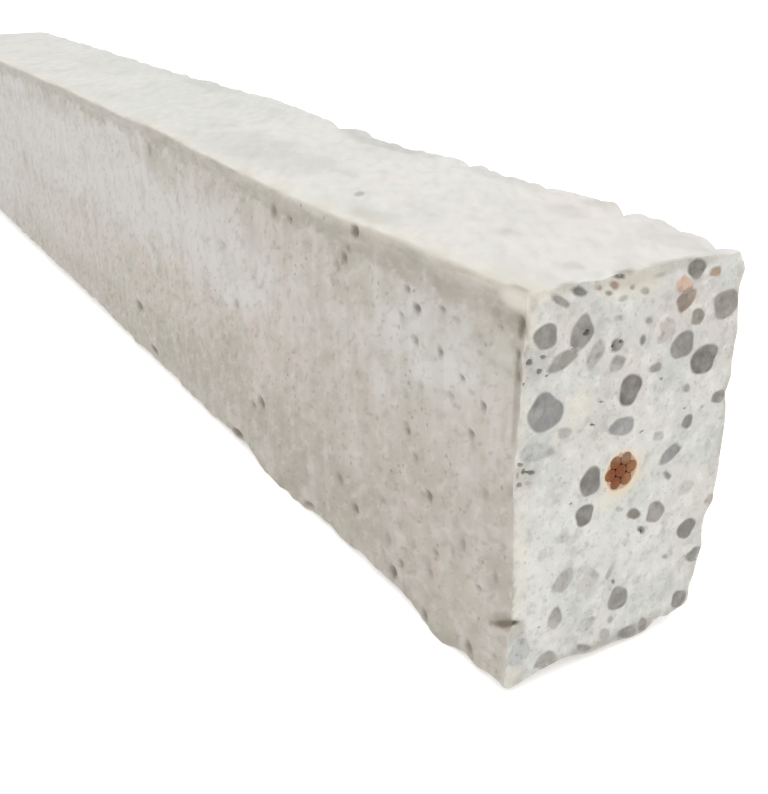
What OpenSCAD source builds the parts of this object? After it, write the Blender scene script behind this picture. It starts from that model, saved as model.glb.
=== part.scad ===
// Prestressed concrete lintel: one cast beam, sawn square at both ends, with a
// seven-wire steel strand cast in along its middle and cut flush with the ends.
//
// The beam lies along X, as it stands on its narrow face. The origin is the
// middle of the underside, +Z is up, and +Y points to the side whose foot
// slumped inwards before the concrete had set.

/* [Beam] */

// Length between the two sawn ends
beam_length = 600; // [300:25:1200]

// Width of the section
section_width = 65; // [55:1:120]

// Height of the section
section_height = 100; // [85:1:150]

/* [Arrises] */

// Radius of the upper arris on the -Y side
front_top_radius = 2.5; // [1:0.5:8]

// Radius of the lower arris on the -Y side
front_foot_radius = 4; // [1:0.5:10]

// Radius of the upper arris on the +Y side
back_top_radius = 4; // [1:0.5:10]

// Radius of the lower arris on the +Y side
back_foot_radius = 6; // [1:0.5:12]

// How far the +Y side draws in at its foot
foot_slump = 4; // [0.5:0.5:8]

// Height above the underside at which the +Y side starts to draw in
foot_slump_height = 32; // [25:1:50]

/* [Strand] */

// Height of the strand's axis above the underside
strand_height = 51.5; // [30:0.5:70]

// Distance of the strand's axis from the middle of the section, towards +Y
strand_offset = -1; // [-12:0.5:12]

// Diameter of the straight wire in the middle of the strand
king_wire_diameter = 3.14; // [2:0.02:5]

// Diameter of each of the wires laid round it
outer_wire_diameter = 3.03; // [1.9:0.01:4.9]

// Length of strand in which an outer wire goes once round
lay_length = 165; // [120:5:240]

// Gap between the king wire and the wires round it
wire_gap = 0.05; // [0.04:0.01:0.3]

// Gap between the steel and the mortar that grips it
bond_gap = 0.02; // [0.01:0.01:0.1]

/* [Hidden] */

OUTER_WIRES = 6;
WIRE_SIDES = 8;          // sides of a laid wire's section
SLICES_PER_TURN = 20;    // slices of the twist in one lay length
ROUND = 48;              // facets of the round arrises and the king wire in the preview
END_OVERRUN = 1;         // least length that the lay runs on past each sawn end

king_radius = king_wire_diameter / 2;
outer_radius = outer_wire_diameter / 2;
lay_radius = king_radius + wire_gap + outer_radius;

// A rounded corner: its point, its radius, and the neighbouring corners' points
// give the centre of its arc and the two points where the arc meets the sides.
function unit(v) = v / norm(v);

function half_angle(before, corner, after) =
    acos(unit(before - corner) * unit(after - corner)) / 2;

function arc_centre(before, corner, after, radius) =
    corner + unit(unit(before - corner) + unit(after - corner))
        * radius / sin(half_angle(before, corner, after));

function side_point(corner, towards, radius, angle) =
    corner + unit(towards - corner) * radius / tan(angle);

function arc_ends(before, corner, after, radius) =
    let (angle = half_angle(before, corner, after))
    [side_point(corner, before, radius, angle), side_point(corner, after, radius, angle)];

// The corners of the section before rounding, counter-clockwise, as [point, radius].
// A radius of 0 leaves a corner sharp.
function section_corners() = [
    [[-section_width / 2, 0], front_foot_radius],
    [[section_width / 2 - foot_slump, 0], back_foot_radius],
    [[section_width / 2, foot_slump_height], 0],
    [[section_width / 2, section_height], back_top_radius],
    [[-section_width / 2, section_height], front_top_radius]
];

// The beam's section, with X as the beam's Y and Y as its Z.
module beam_section() {
    corners = section_corners();
    count = len(corners);
    before = [for (i = [0:count - 1]) corners[(i + count - 1) % count][0]];
    after = [for (i = [0:count - 1]) corners[(i + 1) % count][0]];

    polygon([
        for (i = [0:count - 1])
            each corners[i][1] > 0
                ? arc_ends(before[i], corners[i][0], after[i], corners[i][1])
                : [corners[i][0]]
    ]);
    for (i = [0:count - 1])
        if (corners[i][1] > 0)
            translate(arc_centre(before[i], corners[i][0], after[i], corners[i][1]))
                circle(r = corners[i][1], $fn = ROUND);
}

// Puts what is drawn in the XY plane, and extruded up, along the beam instead.
module along_beam() {
    rotate([90, 0, 90]) children();
}

// The same, with the strand's axis as the middle of the drawing.
module along_strand() {
    along_beam() translate([strand_offset, strand_height, 0]) children();
}

// Extrudes a section drawn round the strand's axis with the strand's lay. It runs
// past both sawn ends in whole slices counted from the middle of the beam, so that
// the wires and the channel they lie in share their slices at any length.
module lay_up() {
    slice_length = lay_length / SLICES_PER_TURN;
    half_slices = ceil((beam_length / 2 + END_OVERRUN) / slice_length);
    half_turn = half_slices * 360 / SLICES_PER_TURN;
    rotate(half_turn)
        linear_extrude(
            height = 2 * half_slices * slice_length, center = true,
            twist = 2 * half_turn, slices = 2 * half_slices
        )
            children();
}

// The outline of the six laid wires taken together. It follows each wire's own
// corners over its outer half, and steps straight across to the next wire, so the
// mortar sits in the grooves of the strand and doesn't run in between the wires.
module strand_outline(gap) {
    half_sides = WIRE_SIDES / 4;
    polygon([
        for (i = [0:OUTER_WIRES - 1])
            for (k = [-half_sides:half_sides])
                let (
                    wire_angle = i * 360 / OUTER_WIRES,
                    side_angle = wire_angle + k * 360 / WIRE_SIDES
                )
                lay_radius * [cos(wire_angle), sin(wire_angle)]
                    + (outer_radius + gap) * [cos(side_angle), sin(side_angle)]
    ]);
}

module concrete_body() {
    color("gainsboro")
        difference() {
            along_beam()
                linear_extrude(height = beam_length, center = true) beam_section();
            along_strand()
                lay_up() strand_outline(bond_gap);
        }
}

module strand_king_wire() {
    color("saddlebrown")
        along_strand()
            cylinder(r = king_radius, h = beam_length, center = true, $fn = ROUND);
}

module strand_outer_wires() {
    color("sienna")
        along_strand()
            for (i = [0:OUTER_WIRES - 1])
                intersection() {
                    lay_up()
                        rotate(i * 360 / OUTER_WIRES)
                            translate([lay_radius, 0])
                                circle(r = outer_radius, $fn = WIRE_SIDES);
                    cylinder(r = 2 * lay_radius, h = beam_length, center = true);
                }
}

concrete_body();
strand_king_wire();
strand_outer_wires();
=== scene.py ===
import random
from math import ceil, cos, exp, hypot, pi, radians, sin, tan

import bpy
import numpy as np
from mathutils import Matrix, Vector, geometry, noise


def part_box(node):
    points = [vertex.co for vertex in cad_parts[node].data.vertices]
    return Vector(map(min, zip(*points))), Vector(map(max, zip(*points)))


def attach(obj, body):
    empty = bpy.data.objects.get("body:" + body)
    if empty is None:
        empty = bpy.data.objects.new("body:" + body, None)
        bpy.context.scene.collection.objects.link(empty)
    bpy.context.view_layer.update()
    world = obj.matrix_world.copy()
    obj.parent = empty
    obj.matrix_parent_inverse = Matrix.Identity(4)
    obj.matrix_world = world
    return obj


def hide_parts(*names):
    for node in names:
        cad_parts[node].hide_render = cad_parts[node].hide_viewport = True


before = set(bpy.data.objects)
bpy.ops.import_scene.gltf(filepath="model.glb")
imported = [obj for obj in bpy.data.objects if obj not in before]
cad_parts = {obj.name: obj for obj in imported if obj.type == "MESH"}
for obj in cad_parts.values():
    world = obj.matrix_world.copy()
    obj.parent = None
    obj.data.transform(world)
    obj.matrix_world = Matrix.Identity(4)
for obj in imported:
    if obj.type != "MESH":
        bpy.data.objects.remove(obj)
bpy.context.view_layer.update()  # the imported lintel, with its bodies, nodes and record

# Shapes are in millimetres, in the row's frame: X along the beam, with the photo's sawn
# end at +X and its long side at -Y, and Z up. "Run" is the distance from the +X end.
MM = 0.001
LOW, HIGH = (np.array(corner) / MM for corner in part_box("concrete_body"))
LENGTH = HIGH[0] - LOW[0]
KING_LOW, KING_HIGH = (np.array(corner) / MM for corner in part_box("strand_king_wire"))
LAID_LOW, LAID_HIGH = (np.array(corner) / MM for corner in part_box("strand_outer_wires"))

# How far the faces lie inside the CAD box, to leave room for lumps, and how close to it
# the lumps come
FRONT_INSET = 0.9
BACK_INSET = 0.45
TOP_INSET = 0.6
FOOT_INSET = 1.7
SAW_INSET = 0.25
LUMP_INSET = 0.02

FRONT = LOW[1] + FRONT_INSET
BACK = HIGH[1] - BACK_INSET
FOOT = LOW[2] + FOOT_INSET
TOP = HIGH[2] - TOP_INSET
NEAR_END = HIGH[0] - SAW_INSET
FAR_END = LOW[0] + SAW_INSET
SPAN = LENGTH - 2 * SAW_INSET

# The section's corners, as Y, Z and radius, counter-clockwise seen from +X
SECTION = (
    (FRONT, FOOT, 2.5),
    (BACK - 4.8, FOOT, 4),
    (BACK - 2.7, FOOT + 28.5, 3),
    (BACK - 0.1, FOOT + 32.5, 2),
    (BACK - 0.2, TOP, 3),
    (FRONT, TOP, 1.5),
)

# Mesh spacing round the section and along the beam
ARC_STEP = 0.7
FACE_STEPS = (2.8, 3, 1, 3, 1.8, 0.95)  # along each stretch of SECTION
RUN_STEP_FIRST = 0.35
RUN_STEP_FINE = 0.8
RUN_STEP_COARSE = 2.5
RUN_STEP_GROWTH = 0.0062
SAWN_STEP = 1.3
SAWN_STEP_FAR_END = 1.8

# The strand, from its wires' boxes
STRAND = STRAND_Y, STRAND_Z = (KING_LOW + KING_HIGH)[1:] / 2
KING_RADIUS = (KING_HIGH[2] - KING_LOW[2]) / 2
STRAND_RADIUS = (LAID_HIGH[2] - LAID_LOW[2]) / 2
LAID_WIRES = 6
LAID_RADIUS = (STRAND_RADIUS - KING_RADIUS) / 2
LAY_RADIUS = STRAND_RADIUS - LAID_RADIUS
LAY_LENGTH = 165
CHANNEL_GAP = 0.08  # between the steel and the mortar
CHANNEL_STEP = 6
LOBE_POINTS = 7

# The square of the bake's map, in mm of the long surface, and how much larger the sawn
# faces are in it
MAP_SIZE = 612
MAP_MARGIN = 6
SAWN_MAP_SCALE = 3


def srgb(*levels):
    """A screen colour, 0 to 255, as linear light."""
    return tuple(v / 12.92 if v <= 0.04045 else ((v + 0.055) / 1.055) ** 2.4
                 for v in (level / 255 for level in levels))


def ease(value, low, high):
    """0 below low, 1 above high, and smooth between them."""
    t = np.clip((value - low) / (high - low), 0, 1)
    return t * t * (3 - 2 * t)


def bell(distance, half_width):
    return np.exp(-((distance / half_width) ** 2))


def cloud(points, size, seed):
    """Smooth noise of about -1 to 1 with lumps of that size, at each row of points."""
    shift = Vector((seed * 17.3, seed * 5.9, seed * 11.7))
    return np.array([noise.noise(Vector(p) / size + shift) for p in points.tolist()])


def polar(centre, radius, angle):
    """Y and Z at that distance and angle from a centre."""
    return centre[0] + radius * cos(angle), centre[1] + radius * sin(angle)


# ---- cast surface

# Waves of the long arrises: run, sideways shift, upward shift and half-length
FRONT_TOP_WAVES = (
    (75, 0, -1.2, 22), (112, 0, -1.9, 26), (150, 0, -1, 20), (176, 0, -0.7, 12), (250, 0, -0.5, 20),
    (330, 0, 0.5, 14),
)
BACK_TOP_WAVES = (
    (2.5, -1.1, -1.1, 7), (6.7, -1, -1, 3.2), (18, -1.2, -1, 5), (37.5, -1.5, -1.5, 3.4),
    (43, 0.7, 0.7, 3.5), (52, 0.2, 0.4, 9), (67, -0.7, -0.7, 5), (87, -0.5, -0.5, 4), (98, 0.2, 0.5, 3),
    (104, -1.3, -1, 4), (140, -1, -1.3, 17), (161, -0.8, -0.9, 4), (184, -1.9, -1.9, 5.5),
    (195, 0.2, 0.2, 4.5), (250, 0.6, 1.1, 34), (304, 0.4, 0.7, 14),
)
FRONT_FOOT_WAVES = (
    (12, -0.5, -1.2, 4), (27.5, -1.2, -3.5, 6.8), (38, -0.5, -1.05, 4.5), (72, -0.3, -0.7, 3.5),
    (79, -0.5, -0.8, 4), (95, -0.3, -0.6, 14), (102, -0.3, -1, 4), (110, -0.8, -2, 6),
    (120, -0.8, -2.5, 6), (131, -0.9, -2.5, 8), (147, 0, 0.5, 4), (155, -0.4, -0.8, 9),
    (174, -0.3, -0.8, 8), (197, -0.4, -0.8, 10), (216, 0.1, 0.5, 6), (230, -0.1, -0.4, 6),
    (244, 0, 0.4, 7), (262, -0.3, -0.3, 7), (312, 0.2, 1.4, 12),
)
# The foot's rise towards the far end: run where it starts, run where it ends, and rise
FAR_FOOT_RISES = ((290, 345, 1.6), (430, 500, 0.5))
WAVE_REACH = 11

# The rim's shape at the sawn end: for the foot, Y from the front face, upward shift and
# half-width; for the front and the back, Z, sideways shift and half-height
FOOT_END_WAVES = (
    (11, 2, 5), (18.5, 2.4, 4), (29, -0.2, 3), (35, 0.3, 4), (42, -1.1, 4), (48.5, 2.1, 2.6), (53, 0.9, 3),
    (57, 1.8, 4.5),
)
FRONT_END_WAVES = ((94, 0.6, 5), (58, -0.5, 9), (33, 0.4, 6), (22, 0.9, 6))
BACK_END_WAVES = (
    (95.5, 0.6, 2.5), (89, -1.1, 6), (83.6, -0.4, 1.5), (75.6, -0.3, 2), (62.5, -1, 2.5), (36, -0.5, 3),
    (28, -0.3, 3), (19.2, 2.6, 3), (14, 0.5, 2), (9, -0.6, 3.6),
)
END_REACH = 12  # over which it fades out along the beam
RIM_REACH = 5  # and from the face inwards
# Relief of the cast faces: size of the lumps, their height, and what is added to it on
# the top, low down and at the ragged arrises
RELIEF = (
    (34, 0.3, -0.15, 0, 0), (8, 0.2, -0.1, 0.5, 0.8), (3.4, 0.1, 0, 0.3, 0.45), (1.6, 0.07, 0, 0, 0),
)
LOW_DOWN = 12  # height over which the foot's own relief fades out
ARRIS_WEAR = 0.15  # of the sawn arrises
ARRIS_CHIP = 1.3  # added here and there

# Pits and hollows in the front face: run, Z, half-width along the beam, half-height and
# depth
FRONT_PITS = (
    (42.5, 88.3, 1.7, 1.2, 0.5), (38.2, 84.8, 1.8, 1.4, 0.9), (28, 87.7, 1.8, 1, 0.5),
    (22.5, 87, 1.9, 1.1, 0.25), (45.3, 81, 1.5, 1.1, 0.4), (38.5, 76.8, 1.5, 1.4, 0.5),
    (28.7, 77.2, 1.3, 1.6, 0.6), (20.2, 73.8, 1.4, 1, 0.55), (12, 70.3, 1.3, 1.2, 0.7),
    (24, 68.2, 1.6, 1, 0.25), (36.5, 66, 1.7, 2.6, 0.2), (16.3, 61.8, 1.8, 1.4, 0.6),
    (43, 61.5, 2.3, 1.4, 0.2), (42.3, 52, 1.7, 1.6, 0.55), (38.5, 46, 1.7, 1.8, 0.4),
    (32.5, 38.3, 1.9, 1.5, 0.9), (35, 37, 1.6, 1.2, 0.3), (10, 50, 2, 1.8, 0.3), (40, 71, 1.4, 1.2, 0.2),
    (54.5, 26.2, 2, 1.2, 0.25), (18, 32.5, 1.2, 2.4, 0.35), (22, 28, 1.2, 2.2, 0.3),
    (5.5, 30, 1.2, 2.4, 0.35), (31.5, 17, 1.9, 1.6, 0.35), (52, 15.5, 2.2, 2.2, 0.2),
    (45.5, 11.5, 1.6, 1.5, 0.5), (49.5, 6.5, 2.1, 2.2, 0.9), (14, 6.2, 2.4, 2.2, 0.5),
    (33, 5, 2.2, 2, 0.5), (7.5, 90, 1.2, 0.8, 0.3), (3, 59, 1.4, 0.8, 0.35), (1.2, 92.6, 1.3, 2, 0.7),
    (1.3, 86, 1, 1.6, 0.6), (67.2, 97.2, 2.4, 2, 1.2), (72.7, 88.4, 2, 2.4, 0.6), (77, 85.5, 2.4, 2, 0.3),
    (70.5, 91.6, 1.4, 1.4, 0.4), (1.8, 84.2, 0.8, 1.3, 0.5), (0.9, 81.5, 0.7, 1.2, 0.5),
    (113.5, 92.5, 2.8, 3, 0.55), (103.5, 92.3, 2.4, 1.8, 0.4), (153.5, 71.5, 3.6, 1.4, 0.3),
    (145.5, 53.5, 2.6, 2, 0.3), (130, 25, 2.4, 2.4, 1), (136, 21.7, 2.6, 1.3, 0.45),
    (78.5, 21.5, 2.6, 2, 0.45), (69.5, 16, 2.2, 1.9, 0.65), (152, 5.2, 5, 1.6, 1.1),
    (98, 4.2, 4, 1.2, 0.5), (217, 91, 3, 3.4, 0.3), (249, 22, 4.5, 2.6, 0.6), (235, 7.5, 4.5, 1.8, 0.8),
)
# The slit's narrow and wide ends, as run and Z
SLIT_ENDS = np.array(((6.4, 17), (0, 20.8)))
SLIT_HALF_WIDTH = 1.2
SLIT_DEPTH = 0.5
# Random pits: how many are tried, the distance from either end over which they get
# rarer, their radii, and depth as a share of radius
LOOSE_PITS = 150
PIT_REACH = 60
PIT_RADII = (0.7, 1.2)
PIT_DEPTH = 0.4


def rounded_outline(corners, steps):
    """Points round a closed outline with rounded corners, and their outward normals.
    steps gives the spacing along the straight stretch that follows each corner."""
    spots = [Vector(corner[:2]) for corner in corners]
    arcs = []
    for i, (_, _, radius) in enumerate(corners):
        back = (spots[i - 1] - spots[i]).normalized()
        ahead = (spots[(i + 1) % len(spots)] - spots[i]).normalized()
        half = back.angle(ahead) / 2
        outward = 1 if back.cross(ahead) < 0 else -1
        centre = spots[i] + (back + ahead).normalized() * radius / sin(half)
        reach = radius / tan(half)
        start, end = ((spots[i] + way * reach - centre).normalized() for way in (back, ahead))
        pieces = max(3, ceil(radius * (pi - 2 * half) / ARC_STEP))
        spokes = [start.slerp(end, k / pieces) for k in range(pieces + 1)]
        arcs.append([(centre + spoke * radius, spoke * outward) for spoke in spokes])
    outline = []
    for i, arc in enumerate(arcs):
        outline += arc
        start, normal = arc[-1]
        end = arcs[(i + 1) % len(arcs)][0][0]
        pieces = max(2, round((end - start).length / steps[i]))
        for k in range(1, pieces):
            t = k / pieces
            t -= 0.4 * sin(2 * pi * t) / (2 * pi)
            outline.append((start.lerp(end, t), normal))
    return (np.array(values) for values in zip(*outline))


def run_stations():
    """Distances from the +X sawn end of the beam's rings, closest at both ends."""
    runs = [0.0]
    while runs[-1] < SPAN - RUN_STEP_FIRST * 1.5:
        from_end = min(runs[-1], SPAN - runs[-1])
        growing = RUN_STEP_FINE + RUN_STEP_GROWTH * from_end
        runs.append(runs[-1] + min(RUN_STEP_FIRST + 0.4 * from_end, growing, RUN_STEP_COARSE))
    runs[-1] = SPAN
    return np.array(runs)


def pit_depths(place, facing_front, facing_top):
    """Depth of the pits at each place of the cast surface."""
    run, _, z = place.T
    depth = np.zeros(len(run))
    for at, height, half_width, half_height, deep in FRONT_PITS:
        away = np.hypot((run - at) / half_width, (z - height) / half_height)
        depth = np.maximum(depth, deep * facing_front * np.clip(1.05 - away ** 2, 0, 1) ** 1.4)
    off, line = place[:, ::2] - SLIT_ENDS[0], SLIT_ENDS[1] - SLIT_ENDS[0]
    along = np.clip(off @ line / (line @ line), 0, 1)
    open_width = SLIT_HALF_WIDTH * (0.5 + 0.5 * along)
    away = np.linalg.norm(off - along[:, None] * line, axis=1) / open_width
    depth = np.maximum(depth, SLIT_DEPTH * facing_front * np.clip(1.1 - away ** 2, 0, 1))

    chance = random.Random(41)
    for _ in range(LOOSE_PITS):
        j = chance.randrange(len(place))
        from_end = min(run[j], SPAN - run[j])
        share = (0.15 + 0.85 * exp(-from_end / PIT_REACH)) * (1 - facing_top[j])
        share *= 1 - 0.8 * facing_front[j]
        radius = chance.uniform(*PIT_RADII)
        if chance.random() <= share:
            away = np.linalg.norm((place - place[j]) / (1.25, 1, 1), axis=1) / radius
            depth = np.maximum(depth, radius * PIT_DEPTH * np.clip(1.1 - away ** 2, 0, 1))
    return depth


def cast_surface():
    """The beam's long surface, as rings of points, and for each point its run, Y and Z
    before it was roughened, the outline's normal and the depth of its pit."""
    outline, normals = rounded_outline(SECTION, FACE_STEPS)
    runs = run_stations()
    run = np.repeat(runs, len(outline))
    yz, normal = (np.tile(values, (len(runs), 1)) for values in (outline, normals))
    y, z = yz.T
    place = np.c_[run, yz]
    facing_top = ease(normal[:, 1], 0.55, 0.9)
    facing_front = ease(-normal[:, 0], 0.4, 0.9)

    shift = np.zeros_like(yz)
    for waves, arris_y, arris_z in (
        (FRONT_TOP_WAVES, FRONT, TOP), (BACK_TOP_WAVES, BACK, TOP), (FRONT_FOOT_WAVES, FRONT, FOOT),
    ):
        nearness = bell(np.hypot(y - arris_y, z - arris_z), WAVE_REACH)
        for at, sideways, upward, half_length in waves:
            shift += (bell(run - at, half_length) * nearness)[:, None] * (sideways, upward)
    low_down = bell(z - FOOT, LOW_DOWN)
    for start, end, rise in FAR_FOOT_RISES:
        shift[:, 1] += rise * ease(run, start, end) * low_down
    # Each face at the sawn end is shifted along one axis of the section, 0 for Y, 1 for Z
    for waves, axis, origin, face in (
        (FOOT_END_WAVES, 1, FRONT, FOOT), (FRONT_END_WAVES, 0, 0, FRONT), (BACK_END_WAVES, 0, 0, BACK),
    ):
        for at, shifted, half_size in waves:
            share = bell(yz[:, 1 - axis] - origin - at, half_size) * bell(yz[:, axis] - face, RIM_REACH)
            shift[:, axis] += shifted * share * bell(run, END_REACH)

    ragged = bell(np.hypot(y - BACK, z - TOP), 6) + 0.35 * bell(np.hypot(y - FRONT, z - TOP), 3)
    relief = np.zeros(len(run))
    for seed, (size, height, on_top, at_foot, at_arris) in enumerate(RELIEF, 1):
        height = height + on_top * facing_top + at_foot * low_down + at_arris * ragged
        relief += height * cloud(place, size, seed)
    depth = pit_depths(place, facing_front, facing_top)
    wear = ARRIS_WEAR + ARRIS_CHIP * np.clip(cloud(place * (0.2, 1, 1), 4.5, 31) - 0.1, 0, 1)
    worn = wear * np.clip(1 - np.minimum(run, SPAN - run) / (1.1 * wear + 0.3), 0, 1) ** 1.5

    yz = yz + shift + normal * (relief - depth - worn)[:, None]
    yz = np.clip(yz, LOW[1:] + LUMP_INSET, HIGH[1:] - LUMP_INSET)
    return np.c_[NEAR_END - run, yz].reshape(len(runs), -1, 3), place, normal, depth


# ---- sawn faces

# Stones cut through by the saw at the +X end: Y from the front face, Z, half-width,
# half-height, tilt in degrees, and kind
STONES = (
    (6.2, 89.1, 3.1, 2.9, 0, "grey"), (15.7, 87.9, 3.1, 3.8, -10, "grey"),
    (11.1, 82.8, 4.3, 1.9, 22, "sand"), (20, 82.2, 3.3, 2, 58, "pale"),
    (25.9, 83.2, 1.9, 1.5, -10, "slate"), (26.4, 78.8, 2.3, 1.9, 0, "pale"),
    (7.3, 71.8, 4.9, 4.3, -12, "blue_dark"), (31, 71.6, 3.2, 3.8, 0, "dark"),
    (13, 65.7, 2.1, 1.3, -15, "pale"), (5.6, 63.1, 4.6, 2.2, -12, "blue_pale"),
    (29.7, 62.9, 3.7, 2.4, -8, "blue"), (21.7, 51.2, 3.2, 3.6, 0, "slate"),
    (20.7, 42.9, 2.8, 2.8, 20, "slate"), (9.5, 96, 3.2, 0.9, -33, "grey"),
    (14.2, 97.2, 2.2, 1, -25, "olive_dark"), (32.5, 94.1, 1.4, 0.8, -25, "sand"),
    (34.6, 87, 1.2, 0.8, -15, "grey"), (33.3, 82.8, 0.9, 1.3, 0, "slate"),
    (47.3, 96.5, 2.8, 2.3, 0, "olive_dark"), (44.2, 93.2, 2.9, 1.9, -35, "rose"),
    (45.2, 89.8, 3, 2.4, 28, "brown"), (49.5, 85, 2.1, 2, 0, "olive"), (53.4, 94.8, 1.8, 1.2, 0, "tan"),
    (58.3, 86.4, 4, 3.7, 0, "taupe"), (45.8, 79, 3.5, 3.4, 0, "grey"), (53.2, 74, 4.3, 3.6, -6, "dark"),
    (38.2, 75.2, 1.9, 1.2, 0, "sand"), (48.7, 67.8, 1.3, 1, -20, "pale"),
    (39.9, 83.7, 3, 2.9, 0, "rose_ghost"), (60, 63, 2.3, 1.8, 0, "grey"),
    (50.4, 58.9, 1.8, 1.8, 0, "grey"), (54.8, 61.6, 0.7, 0.5, 0, "pale"),
    (41.4, 57.4, 1.8, 1.2, -25, "ghost"), (46, 51.6, 3.6, 1.9, 24, "blue_dark"),
    (45.9, 45.9, 2.2, 0.7, -46, "grey"), (36.2, 38.4, 2.4, 1.4, -33, "olive"),
    (43.3, 36.7, 2.9, 3, 10, "taupe_pale"), (39.3, 33, 1.5, 0.9, -42, "dark"),
    (62, 34.4, 1.9, 1.6, 0, "rose_pale"), (15.9, 26.9, 2.5, 3.6, -38, "pale"),
    (23.6, 24, 3.4, 2.9, 20, "ghost"), (30.4, 24.4, 0.9, 2.9, -25, "blue_pale"),
    (33.9, 15.3, 3.1, 3.6, 10, "grey"), (14.2, 17, 2.1, 3.1, 6, "pale"),
    (4, 11.4, 3.1, 3.7, 8, "blue_pale"), (12.3, 5.8, 3.3, 2.2, 0, "sand"),
    (24, 4.6, 2.6, 0.9, -25, "grey"), (30.7, 5.6, 1.6, 2.4, 20, "pale"), (24.3, 11.4, 3, 1.9, 0, "ghost"),
    (38.4, 3.6, 3.2, 1.7, -10, "grey"), (43.4, 3.9, 1.5, 2.2, 15, "taupe"),
    (54.8, 28.4, 3, 2.9, 0, "slate"), (59, 19.4, 2.7, 2.2, 0, "grey"), (48.6, 22.3, 1.2, 0.7, -25, "sand"),
    (55.5, 7.2, 2.8, 2.6, 0, "grey"), (32, 9.8, 0.9, 1.1, 15, "pale"),
    (14.6, 38.6, 2.4, 1.2, -10, "ghost"), (31.4, 41.2, 1.6, 0.7, -22, "ghost"),
    (52.6, 40.6, 2.4, 2, 0, "ghost"), (24.8, 98.7, 1.7, 0.7, -15, "olive_dark"),
    (23.6, 96.9, 1.5, 0.8, -30, "tan_dark"), (19.3, 97.1, 1.1, 0.6, -15, "tan"),
    (22.2, 95.4, 1, 0.6, -20, "sand"), (28.7, 95.6, 0.8, 0.6, -20, "sand"),
    (26.5, 93.5, 1.4, 0.7, 0, "ghost"), (36.6, 96.9, 1.8, 0.6, 4, "pale"),
    (25.7, 89.3, 1.2, 0.7, -10, "pale"),
)
STONE_COLOURS = {
    "dark": (98, 95, 92), "slate": (121, 118, 113), "grey": (134, 131, 126),
    "sand": (155, 152, 145), "pale": (168, 166, 160), "ghost": (189, 187, 181),
    "olive_dark": (104, 103, 95), "olive": (134, 129, 117), "taupe": (147, 142, 134),
    "taupe_pale": (142, 137, 131), "brown": (144, 127, 113), "tan": (174, 150, 126),
    "tan_dark": (160, 137, 119),
    "blue_dark": (133, 133, 132), "blue": (147, 148, 146), "blue_pale": (180, 181, 179),
    "rose": (202, 165, 142), "rose_pale": (186, 177, 170), "rose_ghost": (206, 198, 192),
}
# Small holes in the sawn face: Y from the front face, Z, half-width, half-height, tilt
# and depth
HOLES = (
    (17, 87.8, 1, 0.8, 0, 0.65), (2.4, 84.3, 1.1, 0.8, 0, 0.6), (5.1, 81.7, 0.9, 0.7, -20, 0.6),
    (5.9, 84.7, 1.1, 0.45, -20, 0.5), (7, 80.3, 0.5, 0.35, 0, 0.4), (0.9, 79.8, 0.5, 0.4, 0, 0.5),
    (1.4, 61.2, 0.9, 0.5, -25, 0.45), (2.3, 59.3, 0.6, 0.8, 15, 0.55), (4.4, 58.5, 1.5, 0.6, -18, 0.6),
    (1.5, 56.3, 0.9, 0.7, -35, 0.5), (0.9, 58.6, 0.35, 1, 5, 0.3), (3.9, 56, 1.1, 0.7, -20, 0.25),
    (26.9, 83.8, 0.7, 0.5, 0, 0.5), (24.6, 83.2, 0.5, 0.4, 0, 0.4), (20.8, 65.6, 0.9, 0.35, -20, 0.5),
    (22.8, 70.6, 0.8, 0.35, -20, 0.4), (39.2, 32.8, 0.6, 0.4, -40, 0.5), (31.9, 20.8, 0.6, 1, 30, 0.5),
    (1.7, 20.5, 1.9, 0.6, -17, 0.8), (36, 60, 0.8, 0.3, 10, 0.4), (40.4, 72, 0.6, 0.5, -30, 0.4),
    (9.6, 16.2, 0.4, 0.3, 0, 0.4), (49, 62.6, 0.4, 0.3, 0, 0.4), (16.4, 47.2, 0.5, 0.3, 20, 0.4),
)
STREWN_STONES = 60  # tried on the far end
STONE_STEP = 0.75  # spacing of the points round a stone
HOLE_STEP = 0.45
CROWN_RINGS = (0.7, 1.5, 2.4)  # from the strand, where points lie closer
CROWN_POINTS = 40
MORTAR_MARGIN = 0.5  # between the mortar's points and the outlines'
HOLE_SHADE_DEPTH = 0.85  # depth from which a hole's ground gets its darkest painted shade
RIM_MARGIN = 0.35  # stones nearer than this to the rim run into it
STONE_EDGE = 0.3  # half-width of the zone in which a stone's colour sets in
STONE_RELIEF = 0.3  # relief on a stone as a share of that on mortar
HOLE_GROUND = 0.6  # width of a hole's ground as a share of the hole's
UNEVEN_HOLE = 1.5  # unevenness of a hole's outline, a stone's being 1
JITTER = 0.2  # by which mortar points lie off their rows, in steps


def inside(points, outline):
    """Which points lie inside a closed outline."""
    y, z = points.T[..., None]
    (y1, z1), (y2, z2) = outline.T, np.roll(outline, -1, axis=0).T
    crosses = (z1 > z) != (z2 > z)
    with np.errstate(divide="ignore", invalid="ignore"):
        at = (y2 - y1) * (z - z1) / (z2 - z1) + y1
    return np.count_nonzero(crosses & (y < at), axis=1) % 2 == 1


def distances(points, others):
    return np.sqrt(((points[:, None] - others[None]) ** 2).sum(-1))


def closed(numbers):
    """The edges round a closed outline of points with those numbers."""
    return np.c_[numbers, np.roll(numbers, -1)]


def blob(halves, tilt, chance, unevenness, step):
    """An uneven rounded outline, as a stone or a hole has where the saw cuts it."""
    count = max(8, round(pi * sum(halves) / step))
    angle = 2 * pi * np.arange(count) / count
    swell = np.ones(count)
    for k, amount in ((2, 0.05), (3, 0.06), (4, 0.04), (5, 0.03)):
        swell += unevenness * amount * np.cos(k * angle + chance.uniform(0, 2 * pi))
    y, z = halves[0] * swell * np.cos(angle), halves[1] * swell * np.sin(angle)
    cosine, sine = cos(radians(tilt)), sin(radians(tilt))
    return np.c_[y * cosine - z * sine, y * sine + z * cosine]


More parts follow.
